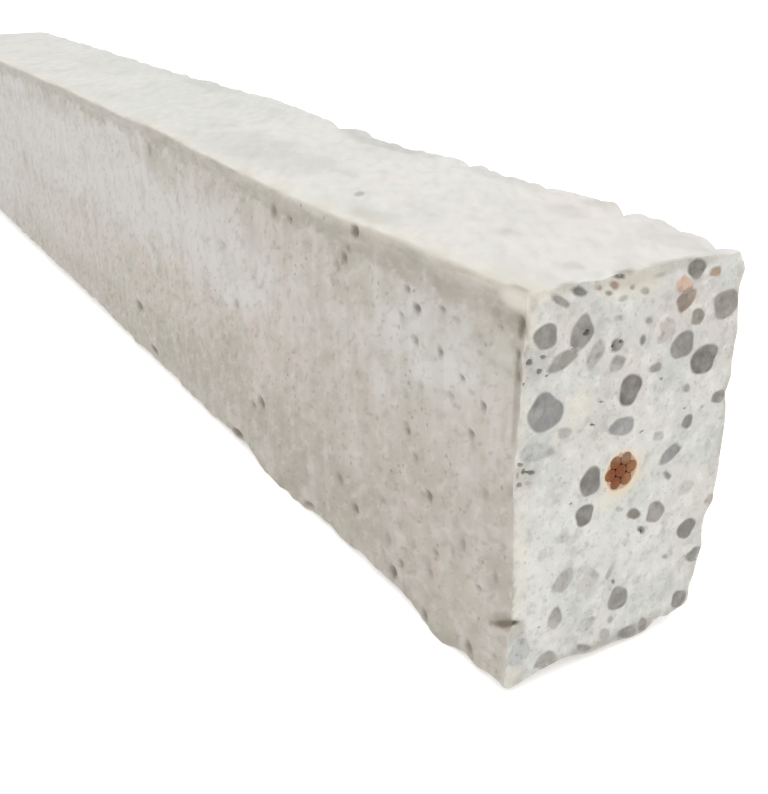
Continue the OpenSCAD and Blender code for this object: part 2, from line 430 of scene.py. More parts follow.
def strewn_stones(chance):
    """Stones for a sawn face that isn't looked at, none on top of another."""
    stones = []
    kinds = sorted(STONE_COLOURS)
    sizes = [chance.betavariate(1.3, 2.2) * 4.2 + 0.8 for _ in range(STREWN_STONES)]
    for size in sorted(sizes, reverse=True):
        for _ in range(40):
            y, z = chance.uniform(1, BACK - FRONT - 1), chance.uniform(2, TOP - 1)
            off_strand = hypot(y + FRONT - STRAND_Y, z - STRAND_Z) - STRAND_RADIUS
            clear = all(hypot(y - s[0], z - s[1]) > size + max(s[2:4]) + 0.5 for s in stones)
            if off_strand > size + 0.6 and clear:
                flat = size * chance.uniform(0.7, 1)
                stones.append((y, z, size, flat, chance.uniform(-90, 90), chance.choice(kinds)))
                break
    return stones


def strand_lobes(x):
    """The outline of the six laid wires taken together, with a gap, where they pass x."""
    points = []
    for i in range(LAID_WIRES):
        wire = radians(i * 360 / LAID_WIRES - 360 * x / LAY_LENGTH)
        middle = polar(STRAND, LAY_RADIUS, wire)
        for k in range(LOBE_POINTS):
            side = wire + pi * (k / (LOBE_POINTS - 1) - 0.5)
            points.append((x, *polar(middle, LAID_RADIUS + CHANNEL_GAP, side)))
    return points


def mortar_spots(step, chance):
    """Points strewn evenly over a sawn face, and closer round the strand."""
    spots = []
    row_height = step * sin(radians(60))
    for row in range(int((TOP - FOOT) / row_height) + 4):
        for column in range(int((BACK - FRONT) / step) + 4):
            spots.append((
                FRONT - 1 + (column + row % 2 * 0.5) * step + chance.uniform(-JITTER, JITTER) * step,
                FOOT - 2 + row * row_height + chance.uniform(-JITTER, JITTER) * step,
            ))
    for ring in CROWN_RINGS:
        for i in range(CROWN_POINTS):
            spots.append(polar(STRAND, STRAND_RADIUS + ring, 2 * pi * (i + ring) / CROWN_POINTS))
    return np.array(spots)


def sawn_face(rim, channel, stones, holes, step, seed):
    """Triangles over a sawn end, from the beam's rim in to the strand's channel.

    Returns the points that it adds, as Y, Z, depth and the painted shade of a hole there; its triangles,
    which count the rim's points, then the channel's, then the added ones; the kind of stone of each; and,
    for all the points, whether they are within a stone."""
    def on_face(spots):
        return inside(spots, rim) & ~inside(spots, channel)

    chance = random.Random(seed)
    outlines = []
    for y, z, *halves, tilt, kind in stones:
        middle = (FRONT + y, LOW[2] + z)
        shape = blob(halves, tilt, chance, 1, STONE_STEP)
        edge = STONE_EDGE / min(halves)
        outlines.append((middle + shape * (1 + edge), kind, 0))
        outlines.append((middle + shape * (1 - edge), "within", 0))
    for y, z, *halves, tilt, depth in holes:
        shape = blob(halves, tilt, chance, UNEVEN_HOLE, HOLE_STEP)
        outlines.append(((FRONT + y, LOW[2] + z) + shape, "hole", depth))

    # The triangles keep to these edges. Where a stone meets the rim or the channel, its
    # outline ends at the nearest point there.
    fixed = np.vstack((rim, channel))
    given = [fixed]
    edges = [closed(np.arange(len(rim))), closed(np.arange(len(rim), len(fixed)))]
    count = len(fixed)
    for outline, _, _ in outlines:
        away = distances(outline, fixed)
        within = on_face(outline) & (away.min(1) > RIM_MARGIN)
        number = np.where(within, count + np.cumsum(within) - 1, away.argmin(1))
        edges.append(closed(number)[within | np.roll(within, -1)])
        given.append(outline[within])
        count += np.count_nonzero(within)
    spots = mortar_spots(step, chance)
    spots = spots[on_face(spots)]
    given.append(spots[distances(spots, np.vstack(given)).min(1) > MORTAR_MARGIN])
    given += [outline.mean(0) + HOLE_GROUND * (outline - outline.mean(0))
              for outline, kind, _ in outlines if kind == "hole"]

    made, _, triangles, sources, _, _ = geometry.delaunay_2d_cdt(
        [Vector(p) for p in np.vstack(given).tolist()], np.vstack(edges).tolist(), [], 0, 1e-6)
    made = np.array([p[:] for p in made])
    triangles = np.array(triangles)
    triangles = triangles[on_face(made[triangles].mean(1))]
    middles = made[triangles].mean(1)
    kinds = np.full(len(triangles), None)
    for outline, kind, _ in outlines:
        if kind in STONE_COLOURS:
            kinds[inside(middles, outline)] = kind

    first = np.array([min(source, default=count) for source in sources])
    new = first >= len(fixed)
    number = np.where(new, len(fixed) + np.cumsum(new) - 1, first)
    points = made[new]
    place = np.insert(points, 0, seed * 100, axis=1)
    depth = 0.12 + 0.07 * cloud(place, 5, 21) + 0.06 * cloud(place, 1.8, 22)
    hole_shade = np.zeros(len(points))
    spots = np.vstack((fixed, points))
    in_stone = np.zeros(len(spots))
    for outline, kind, deep in outlines:
        if kind == "hole":
            within = inside(points, outline) & (distances(points, outline).min(1) > 1e-3)
            depth[within] = deep
            hole_shade[within] = min(1, deep / HOLE_SHADE_DEPTH)
        elif kind == "within":
            within = inside(spots, outline) | (distances(spots, outline).min(1) < 1e-3)
            depth[within[len(fixed):]] *= STONE_RELIEF
            in_stone[within] = 1
    return np.c_[points, depth, hole_shade], number[triangles], kinds, in_stone


# ---- beam

# Soft patches of colour on the front face, by layer: run, Z, half-length, half-height and amount. The
# darker layer holds dirt, and also painted shade in the strip below the upper arris and along the foot
FRONT_PATCHES = {
    "pale": (
        (330, 70, 240, 22, 0.85), (34, 78, 27, 14, 0.7), (55, 60, 6, 6, 0.45), (46, 66, 5, 4, 0.6),
        (236, 79, 38, 9, 0.85), (345, 76, 50, 14, 1), (520, 60, 110, 60, 0.8), (150, 62, 26, 11, 0.85),
        (400, 35, 120, 16, 0.4), (300, 93, 140, 8, 0.4), (430, 95, 60, 9, 1), (250, 95, 26, 4, 1),
    ),
    "pink": (
        (112, 58, 44, 32, 0.8), (212, 44, 60, 18, 0.6), (320, 34, 60, 16, 0.4), (30, 28, 36, 26, 0.5),
        (66, 62, 6, 20, 0.6),
    ),
    # Dirt, and painted shade in the strip just below the upper arris and along the foot
    "dirt": (
        (30, 38, 34, 16, 0.4), (95, 18, 60, 16, 0.7), (180, 16, 60, 14, 0.5), (290, 12, 90, 14, 0.25),
        (30, 12, 30, 10, 0.35), (90, 42, 34, 12, 0.3), (74, 89, 9, 8, 0.6), (108, 92, 14, 6, 0.45),
        (60, 70, 7, 18, 0.25), (80, 74, 20, 18, 0.3), (68, 56, 6, 7, 0.5), (82, 66, 8, 5, 0.5),
        (32, 92.5, 34, 3.4, 1), (85, 94.5, 40, 3, 0.55), (150, 89, 30, 7, 0.25), (22, 85, 15, 8, 0.4),
        (97, 86, 9, 5, 0.4), (130, 80, 10, 6, 0.45), (48, 85, 12, 5, 0.3), (211, 89, 12, 9, 0.8),
        (350, 90, 44, 4, 0.4), (42, 60, 12, 6, 0.2), (11, 50, 11, 13, 0.45), (4, 28, 6, 10, 0.6),
        (48, 24, 13, 7, 0.4), (150, 30, 16, 15, 0.55), (90, 60, 24, 16, 0.25), (7, 91, 6, 3, 0.4),
        (4.3, 71, 0.9, 8, 0.5), (22, 4, 14, 3.6, 0.8), (46, 5, 15, 3.2, 0.9), (7, 5.5, 6, 2.5, 0.5),
        (112, 4.5, 22, 4, 0.9), (150, 5, 14, 3, 0.8), (235, 6, 14, 2.4, 0.4), (3.5, 19.6, 6, 2.2, 0.6),
    ),
}
# The same on the top face, with Y in place of Z
TOP_PATCHES = {
    "pink": (
        (25, 0, 60, 30, 0.5), (58, 28, 7, 5, 1), (46, 22, 22, 9, 0.8), (97, -3, 8, 4, 0.8),
        (80, -11, 7, 3, 0.9), (230, 4, 24, 8, 0.4),
    ),
    "dirt": (
        (111, -8.5, 6, 2.5, 0.22), (37, -8, 5, 3, 0.2), (60, -13, 4, 1.2, 0.2), (51, -7, 4, 2, 0.12),
        (8, -12, 3, 2, 0.25), (45, 27, 6, 4, 0.22), (44, 17, 9, 5, 0.15), (84, 26, 24, 4, 0.15),
        (148, 25, 34, 6, 0.25), (300, 25, 40, 5, 0.15), (12, 22, 14, 6, 0.15), (68, -25, 14, 4, 0.2),
        (160, -14, 50, 14, 0.14), (0, -5.5, 2, 2.5, 0.8), (0, 10, 1.4, 9, 0.4), (0, -21, 1.4, 3, 0.5),
        (3.5, -31, 3, 1.6, 0.5),
    ),
}
# And on the near sawn face, with Y from the front face in place of the run
SAWN_PATCHES = {
    "pale": (
        (20, 38, 16, 12, 0.8), (10, 30, 9, 20, 0.8), (38, 30, 16, 14, 0.7), (36, 55, 12, 6, 0.4),
        (30, 8, 20, 5, 0.4),
    ),
    "pink": (
        (46, 88, 10, 10, 1), (28, 74, 9, 14, 0.6), (58, 82, 7, 12, 0.7), (12, 90, 12, 8, 0.5),
        (25, 97, 4, 2, 1), (58, 20, 8, 14, 0.4), (22, 68, 3, 2, 1), (50, 35, 10, 6, 0.7),
        (3, 74, 2, 3, 0.9),
    ),
    "dirt": (
        (0.6, 88, 1.4, 9, 0.6), (1.5, 97, 2.5, 2.5, 0.3), (2.9, 58.4, 3.6, 4.2, 0.3),
        (15, 98.4, 9, 1.2, 0.3), (28, 97.8, 10, 2.4, 0.3), (42, 98, 14, 1.4, 0.3), (62, 92, 2, 6, 0.3),
        (34, 3, 30, 2.4, 0.5), (63, 60, 1.2, 30, 0.25), (4, 83, 4, 4, 0.3), (22, 66, 6, 3, 0.15),
        (2.4, 18, 3.6, 3, 0.35), (31, 23, 2, 7, 0.2),
    ),
    "cream": (
        (2, 36, 3.4, 17, 0.5), (2, 4.5, 3, 3.5, 0.6), (4, 98.5, 6, 2.4, 0.8), (1.5, 66, 1.2, 14, 0.4),
        (17, 71, 4, 4, 0.45), (2.6, 92, 1.8, 5, 0.6), (28, 45, 5, 3, 0.5), (28, 97, 10, 3, 0.75),
    ),
}
ARRIS_BAND = 12  # height of the darker strip below the front's upper arris, partly painted shade
CREAM_REACH = 26  # run over which the top is creamy from its sawn arris on
FAR_LIP_HIGHLIGHT_LOSS = 0.15  # by which the painted highlight of the arris's pale lip is weaker far from the +X end
PIT_SHADE_DEPTH = 0.55  # the same for a pit's painted shade as for a hole's
# Reach of the rust round the strand, and how much farther it droops that way
STAIN_REACH = 1.5
STAIN_DROOP = 1.9
STAIN_WAY = (0.6, -0.8)  # in Y and Z
SHARP_BEAM = 42  # angles from which edges are sharp
SHARP_WIRE = 50


def patches(listed, run, across, wobble):
    """How strongly a list of soft patches is painted at each place."""
    total = np.zeros(len(run))
    for place, height, half_length, half_height, amount in listed:
        off = np.hypot((run - place) / half_length, (across - height) / half_height)
        total = np.maximum(total, amount * ease(-(off + 0.4 * wobble), -1.3, -0.45))
    return total


def tube(rings, first, outward, above=0):
    """Quads of a closed tube whose points count from first, and its map, unrolled at that
    height and cut open where each ring starts."""
    count, columns = rings.shape[:2]
    ring, column = np.meshgrid(np.arange(count - 1), np.arange(columns), indexing="ij")
    way = 1 if outward else -1
    ring = ring.reshape(-1, 1) + (0, 0, 1, 1)[::way]
    column = column.reshape(-1, 1) + (0, 1, 1, 0)[::way]
    outline = rings[count // 2, :, 1:]
    steps = np.linalg.norm(np.roll(outline, -1, axis=0) - outline, axis=1)
    around = np.r_[0, np.cumsum(steps)]
    layout = np.stack((rings[0, 0, 0] - rings[ring, 0, 0] + MAP_MARGIN, around[column] + above), axis=-1)
    return (first + ring * columns + column % columns).tolist(), layout


def link(name, data):
    """A new object in the scene."""
    new = bpy.data.objects.new(name, data)
    bpy.context.scene.collection.objects.link(new)
    return new


def link_mesh(name, points, faces, sharp_angle):
    """A new smooth object whose edges are sharp from that angle on."""
    mesh = bpy.data.meshes.new(name)
    mesh.from_pydata((np.array(points) * MM).tolist(), [], faces, shade_flat=False)
    mesh.set_sharp_from_angle(angle=radians(sharp_angle))
    return link(name, mesh)


def paint_cast(place, normal, depth):
    """The colour layers of the cast surface: pale, pink, dirt with painted shade, and nearness to the
    front's upper arris, then top, rust, sawn and the painted shade of pits."""
    run, y, z = place.T
    wobble = cloud(place, 12, 51) + 0.6 * cloud(place, 4, 52)
    front = ease(-normal[:, 0], 0.3, 0.85)
    top = ease(normal[:, 1], 0.55, 0.9)
    plain = 1 - np.clip(front + top, 0, 1)
    layers = []
    for seed, (name, listed) in enumerate(FRONT_PATCHES.items(), 61):
        anywhere = ease(cloud(place, 30, seed) + 0.4 * wobble, 0, 0.8)
        layers.append(front * patches(listed, run, z, wobble)
                      + top * patches(TOP_PATCHES.get(name, ()), run, y, wobble) + 0.6 * plain * anywhere)
    # Nearness to the front's upper arris: on the sides it sets the darker band, partly painted shade, and
    # the lip's painted highlight
    off_arris = np.where(top > 0.5, y - FRONT, TOP - z)
    near_arris = np.clip(1 - off_arris / ARRIS_BAND, 0, 1) * (normal[:, 0] < 0.3)
    near_arris += np.where(top > 0.5, 0.3 * (1 - near_arris) * np.clip(1 - run / CREAM_REACH, 0, 1),
                           0.2 * bell(run, 6) - FAR_LIP_HIGHLIGHT_LOSS * ease(run, 90, 170))
    none = np.zeros(len(run))
    return np.c_[(*layers, near_arris)], np.c_[top, none, none, np.clip(depth / PIT_SHADE_DEPTH, 0, 1)]


def paint_sawn(added):
    """The same layers over a sawn face, with rust round the strand and worn to its right."""
    y, z, _, hole_shade = added.T
    none = np.zeros(len(y))
    off = added[:, :2] - STRAND
    off_strand = np.hypot(*off.T)
    lean = np.clip(off @ STAIN_WAY / off_strand, -0.2, 1)
    reach = STAIN_REACH + STAIN_DROOP * lean + 0.5 * cloud(np.c_[y, z, none], 2, 77)
    rust = np.clip(1 - (off_strand - STRAND_RADIUS) / reach, 0, 1)
    place = np.c_[none, y, z]
    wobble = cloud(place, 7, 73) + 0.6 * cloud(place, 2.5, 74)
    layers = [patches(listed, y - FRONT, z, wobble) for listed in SAWN_PATCHES.values()]
    return np.c_[tuple(layers)], np.c_[none, rust, none, hole_shade]


def build_beam():
    surface, place, normal, depth = cast_surface()
    stations = np.arange(NEAR_END, FAR_END, -CHANNEL_STEP)
    stations[-1] = FAR_END
    channel = np.array([strand_lobes(x) for x in stations])
    points = [surface.reshape(-1, 3), channel.reshape(-1, 3)]
    numbers = np.arange(len(points[0])).reshape(surface.shape[:2])
    channel_numbers = numbers.size + np.arange(len(points[1])).reshape(channel.shape[:2])
    unpainted = np.zeros((len(points[1]), 4))
    paints = [paint_cast(place, normal, depth), (unpainted, unpainted + (0, 1, 0, 0))]

    # The map for the bake: the long surface unrolled, then the sawn faces, then the channel
    faces, layout = tube(surface, 0, False, MAP_MARGIN)
    left, above = MAP_MARGIN, layout[..., 1].max() + MAP_MARGIN
    channel_above = above + MAP_MARGIN + SAWN_MAP_SCALE * (HIGH[1] - LOW[1])
    channel_faces, channel_layout = tube(channel, numbers.size, True, channel_above)
    maps = [layout, channel_layout]
    faces += channel_faces
    stone = [(0, 0, 0, 0)] * (4 * len(faces))
    sawn_from = len(stone)
    for end, facing, setting in (
        (0, 1, (STONES, HOLES, SAWN_STEP, 3)),
        (-1, -1, (strewn_stones(random.Random(7)), (), SAWN_STEP_FAR_END, 4)),
    ):
        rim, hole = surface[end, :, 1:], channel[end, :, 1:]
        added, triangles, kinds, in_stone = sawn_face(rim, hole, *setting)
        triangles = triangles[:, ::facing]
        added_numbers = sum(len(p) for p in points) + np.arange(len(added))
        index = np.r_[numbers[end], channel_numbers[end], added_numbers]
        faces += index[triangles].tolist()
        points.append(np.c_[surface[end, 0, 0] - facing * added[:, 2], added[:, :2]])
        paints.append(paint_sawn(added))
        for kind, corners in zip(kinds, in_stone[triangles]):
            colour = srgb(*STONE_COLOURS[kind]) if kind else (0, 0, 0)
            stone += [(*colour, mask if kind else 0) for mask in corners]
        zy = (np.vstack((rim, hole, added[:, :2])) - LOW[1:])[:, ::-1]
        maps.append(zy[triangles] * SAWN_MAP_SCALE + (left, above))
        left += MAP_MARGIN + SAWN_MAP_SCALE * (HIGH[2] - LOW[2])

    beam = link_mesh("concrete_beam", np.vstack(points), faces, SHARP_BEAM)
    layout = np.vstack([m.reshape(-1, 2) for m in maps]) / MAP_SIZE
    uv = beam.data.uv_layers.new(name="OFBake").uv
    uv.foreach_set("vector", layout.astype(np.float32).ravel())
    corners = [point for face in faces for point in face]
    paint, zone = (np.vstack(layer)[corners] for layer in zip(*paints))
    zone[sawn_from:, 0] = 0
    zone[sawn_from:, 2] = 1
    for name, values in (("stone", np.array(stone)), ("zone", zone), ("paint", paint)):
        attribute = beam.data.color_attributes.new(name, "FLOAT_COLOR", "CORNER")
        attribute.data.foreach_set("color", values.astype(np.float32).ravel())
    beam.data.materials.append(concrete_material())
    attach(beam, "root")
    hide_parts("concrete_body")


# ---- materials

class Shader:
    """Adds nodes to a material, one call each, and returns their outputs."""

    def __init__(self, name):
        self.material = bpy.data.materials.new(name)
        self.material.use_nodes = True
        self.tree = self.material.node_tree
        self.surface = self.tree.nodes["Principled BSDF"].inputs
        self.where = self.node("TexCoord").outputs["Object"]

    def put(self, socket, value):
        """Links an output to a socket, or sets a colour (a tuple), a list or a number."""
        if isinstance(value, bpy.types.NodeSocket):
            self.tree.links.new(value, socket)
        elif value is not None:
            socket.default_value = (*value, 1) if isinstance(value, tuple) else value

    def node(self, kind, *values, **settings):
        """A node with those settings, and those values on its inputs in their order."""
        node = self.tree.nodes.new("ShaderNode" + kind)
        for name, setting in settings.items():
            setattr(node, name, setting)
        for socket, value in zip(node.inputs, values):
            self.put(socket, value)
        return node

    def placed(self, middle, sizes, turn):
        """Object coordinates counted from a place, along turned axes, in those sizes."""
        middle, sizes = ([value * MM for value in values] for values in (middle, sizes))
        turn = [radians(angle) for angle in turn]
        return self.node("Mapping", self.where, middle, turn, sizes, vector_type="TEXTURE").outputs[0]

    def noise(self, size, detail=3, stretch=(1, 1, 1), turn=(0, 0, 0), seed=0, kind="TexNoise"):
        """A texture whose lumps have that many millimetres, times stretch."""
        spots = self.placed((seed * 370, seed * 190, seed * 730), [size * s for s in stretch], turn)
        return self.node(kind, spots, None, 1, detail).outputs[0]

    def cells(self, size, seed):
        """Distance to the nearest of scattered points, one to a cell of that size."""
        return self.noise(size, 0, seed=seed, kind="TexVoronoi")

    def spot(self, middle, half_sizes, amount, turn=(0, 0, 0)):
        """That amount in the middle (run, Y from the front face, Z) of a soft ellipsoid,
        and 0 outside it."""
        run, from_front, z = middle
        away = self.placed((HIGH[0] - run, FRONT + from_front, z), half_sizes, turn)
        length = self.node("VectorMath", away, operation="LENGTH").outputs["Value"]
        return self.ramp(length, 0.4, 1, amount, 0)

    def ramp(self, value, low, high, start=0, end=1):
        """start at low, end at high, and smooth between them."""
        ramp = self.node("MapRange", value, low, high, start, end, interpolation_type="SMOOTHSTEP")
        return ramp.outputs["Result"]

    def math(self, operation, a, b):
        return self.node("Math", a, b, operation=operation).outputs[0]

    def times(self, a, b):
        return self.math("MULTIPLY", a, b)

    def mix(self, share, first, second, blend="MIX"):
        """The first colour, going over to the second as share goes from 0 to 1."""
        node = self.node("Mix", share, data_type="RGBA", blend_type=blend)
        a, b = (socket for socket in node.inputs if socket.type == "RGBA")
        self.put(a, first)
        self.put(b, second)
        return next(output for output in node.outputs if output.type == "RGBA")

    def coats(self, colour, *coats):
        """A colour under further ones, each given as its share and its screen colour."""
        for share, coat in coats:
            colour = self.mix(share, colour, srgb(*coat))
        return colour

    def layers(self, name):
        """The four numbers of a colour attribute, and its colour."""
        source = self.node("Attribute", attribute_name=name).outputs
        parts = self.node("SeparateColor", source["Color"])
        return (*parts.outputs, source["Alpha"], source["Color"])

    def finish(self, colour, roughness, height, depth_mm):
        bump = self.node("Bump")
        self.put(bump.inputs["Distance"], depth_mm * MM)
        self.put(bump.inputs["Height"], height)
        for name, value in (("Base Color", colour), ("Roughness", roughness), ("Normal", bump.outputs[0])):
            self.put(self.surface[name], value)
        return self.material


# The mottle lies aslant on the front face, and more so on the top
SIDE_MOTTLE = {"stretch": (1.8, 1, 1), "turn": (0, -31, 0)}
TOP_MOTTLE = {"stretch": (2.4, 1, 1), "turn": (0, 0, -33)}
# The sides and sawn faces are painted darker than the top by this share, a painted shade that offsets the
# light which the glowing pale floor sends to them
UPRIGHT_PAINTED_SHADE = 0.88
TOP_SMOOTHNESS = 0.5  # height of the grain on the top as a share of that on the sides
# Spots by middle (run, Y from the front face, Z), half sizes, amount and turn: the pale corner, a painted
# highlight on the rounded corner, then painted shade in the slit and at its end, stains down the sawn
# arris, and painted shade in a pit on the top
CORNER_HIGHLIGHT = ((3.6, 0, 96.8), (6.4, 3, 3.1), 0.6)
STAINS_AND_PIT_SHADE = (
    ((2.4, 0, 19.3), (4.9, 3, 1.15), 0.85, (0, -31, 0)),
    ((0, 1.7, 20.6), (1.5, 3.2, 1.1), 0.8, (-17, 0, 0)),
    ((3.2, 0, 20), (6.5, 3, 2.8), 0.3, (0, -31, 0)),
    ((1.2, 0, 77), (1.3, 1.2, 15), 0.36),
    ((0.7, 0, 82), (1.3, 1.2, 4), 0.3),
    ((1.2, 0, 91.8), (1.7, 1.6, 3.3), 0.75),
    ((4, 0, 92), (6, 3, 2.4), 0.2),
    ((88.8, 13.8, TOP), (3.6, 2, 2), 0.4, (0, 0, -33)),
)


def side_colour(s):
    """The cast sides: grey, with pinkish and olive clouds, drips and a fine mottle. The darker band below
    the upper arris, partly painted shade, has a ragged edge and a pale lip that is a painted highlight."""
    broad, medium = s.noise(50), s.noise(11, 4, (1.6, 1, 1), seed=1)
    fine, blotch = s.noise(3.4, 4, **SIDE_MOTTLE, seed=2), s.noise(2, **SIDE_MOTTLE, seed=8)
    drips, streaks = s.noise(5, stretch=(1, 1, 6), seed=9), s.noise(2.6, stretch=(4, 1, 1), seed=11)
    side = s.coats(
        srgb(187, 180, 173),
        (s.ramp(broad, 0.4, 0.6), (183, 179, 169)),
        (s.times(s.pink, 0.8), (189, 177, 169)),
        (s.times(s.pale, 0.75), (205, 204, 202)),
        # Dirt, with painted shade below the upper arris and along the foot
        (s.times(s.dirt, 0.9), (158, 151, 139)),
        (s.ramp(medium, 0.5, 0.66, 0, 0.5), (174, 171, 158)),
        (s.ramp(medium, 0.5, 0.36, 0, 0.45), (193, 184, 180)),
        (s.ramp(drips, 0.52, 0.68, 0, 0.32), (166, 162, 152)),
        (s.ramp(drips, 0.48, 0.34, 0, 0.25), (199, 197, 194)),
        (s.ramp(fine, 0.52, 0.68, 0, 0.48), (160, 153, 142)),
        (s.ramp(fine, 0.48, 0.34, 0, 0.4), (200, 195, 190)),
        (s.ramp(blotch, 0.55, 0.72, 0, 0.5), (150, 143, 131)),
        (s.times(s.pale, 0.4), (199, 197, 194)),
    )
    ragged = s.math("ADD", s.ramp(fine, 0.3, 0.7, -0.1, 0.1), s.ramp(medium, 0.3, 0.7, -0.14, 0.14))
    # The darker band below the upper arris: partly stain, partly painted shade
    band = s.ramp(s.math("ADD", s.near_arris, ragged), 0.24, 0.5)
    tint = s.mix(s.ramp(s.noise(16, seed=10), 0.4, 0.6), srgb(156, 154, 142), srgb(165, 157, 148))
    # The pale lip: a painted highlight along the rounded arris
    lip_highlight = s.ramp(s.math("ADD", s.near_arris, s.times(ragged, 0.5)), 0.74, 0.96)
    side = s.coats(
        s.mix(s.times(band, 0.48), side, tint),
        (s.times(lip_highlight, s.ramp(broad, 0.42, 0.58, 0.8, 0.35)), (205, 198, 186)),
        (s.times(band, s.ramp(streaks, 0.5, 0.75, 0, 0.38)), (138, 131, 116)),
        (s.times(band, s.ramp(streaks, 0.5, 0.25, 0, 0.28)), (204, 199, 188)),
    )
    # Painted shade: the sides are darker than the top by this share
    return s.mix(1, side, (UPRIGHT_PAINTED_SHADE,) * 3, "MULTIPLY")


def top_colour(s):
    """The cast top: close to white, and creamy along the front's upper arris."""
    broad, medium = s.noise(50, seed=4), s.noise(11, 4, **TOP_MOTTLE, seed=5)
    fine = s.noise(3.4, 4, **TOP_MOTTLE, seed=6)
    band = s.math("ADD", s.near_arris, s.ramp(medium, 0.3, 0.7, -0.12, 0.12))
    return s.coats(
        srgb(210, 208, 203),
        (s.ramp(broad, 0.4, 0.65), (204, 204, 199)),
        (s.times(s.pink, 0.8), (213, 206, 202)),
        (s.ramp(medium, 0.5, 0.7, 0, 0.5), (193, 193, 187)),
        (s.ramp(fine, 0.5, 0.7, 0, 0.4), (192, 190, 183)),
        (s.ramp(fine, 0.48, 0.34, 0, 0.3), (219, 218, 215)),
        (s.ramp(band, 0.2, 0.8, 0, 0.25), (214, 206, 190)),
        (s.ramp(band, 0.84, 1.02, 0, 0.7), (200, 194, 182)),
        (s.dirt, (138, 130, 118)),
    )


def pores(s):
    """Fine open pores in the cast faces, few of them on the top."""
    holes = s.ramp(s.cells(3.4, 1), 0.08, 0.16, 1, 0)
    holes = s.times(holes, s.ramp(s.noise(15, 2, seed=6), 0.47, 0.6))
    return s.times(holes, s.ramp(s.top, 0, 1, 1, 0.12))


def mortar_colour(s, fine, grain):
    """Sawn mortar, light grey, with sand and ghosts of small stones, and rust stains."""
    medium, blotch = s.noise(11, 4, seed=12), s.noise(2, seed=13)
    ghosts = s.times(s.ramp(s.cells(4.2, 4), 0.3, 0.42, 1, 0), s.ramp(medium, 0.42, 0.58))
    sand = s.times(s.ramp(s.cells(1.3, 2), 0.25, 0.42, 1, 0), s.ramp(grain, 0.5, 0.66))
    return s.coats(
        srgb(202, 200, 194),
        (s.ramp(medium, 0.4, 0.62), (193, 194, 189)),
        (s.times(s.pink, 0.8), (200, 192, 187)),
        (s.times(s.pale, 0.8), (211, 210, 205)),
        (s.times(ghosts, 0.4), (172, 171, 167)),
        (s.ramp(fine, 0.52, 0.72, 0, 0.55), (172, 170, 164)),
        (s.ramp(fine, 0.48, 0.34, 0, 0.4), (222, 222, 217)),
        (s.ramp(blotch, 0.56, 0.75, 0, 0.5), (160, 157, 148)),
        (s.times(sand, 0.4), (140, 137, 128)),
        (s.times(s.cream, 0.8), (213, 206, 190)),
        (s.times(s.dirt, 0.9), (128, 120, 107)),
        (s.ramp(s.rust, 0, 0.7, 0, 0.7), (218, 200, 174)),
        (s.ramp(s.rust, 0.75, 1, 0, 0.8), (166, 128, 96)),
    )


def stone_colour(s, stone, fine, grain):
    """Each stone in its own colour, clouded."""
    medium, blotch = s.noise(7, seed=14), s.noise(2, seed=13)
    return s.coats(
        stone,
        (s.ramp(fine, 0.35, 0.7, 0, 0.35), (184, 180, 174)),
        (s.ramp(medium, 0.46, 0.6, 0, 0.3), (98, 95, 90)),
        (s.ramp(blotch, 0.5, 0.7, 0, 0.3), (92, 88, 82)),
        (s.ramp(grain, 0.5, 0.75, 0, 0.2), (96, 92, 86)),
    )


def concrete_material():
    s = Shader("concrete_cast_and_sawn")
    s.pale, s.pink, s.dirt, s.near_arris, _ = s.layers("paint")
    s.cream = s.near_arris  # which the fourth layer stands for on the sawn faces
    s.top, s.rust, sawn, pit_shade, _ = s.layers("zone")
    *_, is_stone, stone = s.layers("stone")
    fine, grain = s.noise(3.4, 4, seed=2), s.noise(0.8, seed=3)

    open_pores = pores(s)
    # Open pores and pits are painted darker, as painted shade in them
    cast = s.coats(
        s.mix(s.top, side_colour(s), top_colour(s)),
        (s.times(open_pores, 0.32), (112, 106, 97)),
        (s.times(pit_shade, 0.75), (98, 91, 82)),
    )
    cut = s.mix(is_stone, mortar_colour(s, fine, grain), stone_colour(s, stone, fine, grain))
    # Holes in the sawn faces are painted darker, as painted shade in them
    cut = s.coats(cut, (s.times(pit_shade, 0.9), (88, 83, 76)))
    # Painted shade: the sawn faces are darker than the top by the same share
    cut = s.mix(1, cut, (UPRIGHT_PAINTED_SHADE,) * 3, "MULTIPLY")
    # A painted highlight on the pale corner, painted shade in the slit and in a pit on the top, and stains
    # down the sawn arris
    colour = s.coats(
        s.mix(sawn, cast, cut),
        (s.spot(*CORNER_HIGHLIGHT), (204, 200, 188)),
        *((s.spot(*dark_spot), (104, 94, 80)) for dark_spot in STAINS_AND_PIT_SHADE),
    )

    height = s.math("ADD", s.times(fine, 0.5), s.times(grain, 0.35))
    height = s.math("SUBTRACT", height, s.times(open_pores, 0.8))
    return s.finish(colour, 0.88, s.times(height, s.ramp(s.top, 0, 1, 1, TOP_SMOOTHNESS)), 0.3)


def rust_material():
    """Brown rust, redder in the middle, lighter below and greyish at the top."""
    s = Shader("rusted_steel")
    patchy, fine = s.noise(3.5, 4), s.noise(0.5, seed=1)
    from_front = STRAND_Y - FRONT
    colour = s.coats(
        srgb(120, 74, 42),
        (s.ramp(patchy, 0.38, 0.62), (142, 98, 58)),
        (s.spot((0, from_front - 1.5, STRAND_Z), (30, 3.6, 4.5), 0.9), (117, 61, 26)),
        (s.spot((0, from_front + 1, STRAND_Z + 5), (30, 6, 3.6), 0.7), (132, 110, 92)),
        (s.ramp(fine, 0.5, 0.75, 0, 0.4), (92, 54, 32)),
    )
    s.put(s.surface["Metallic"], 0.1)
    return s.finish(colour, 0.85, s.math("ADD", patchy, fine), 0.25)


# ---- strand

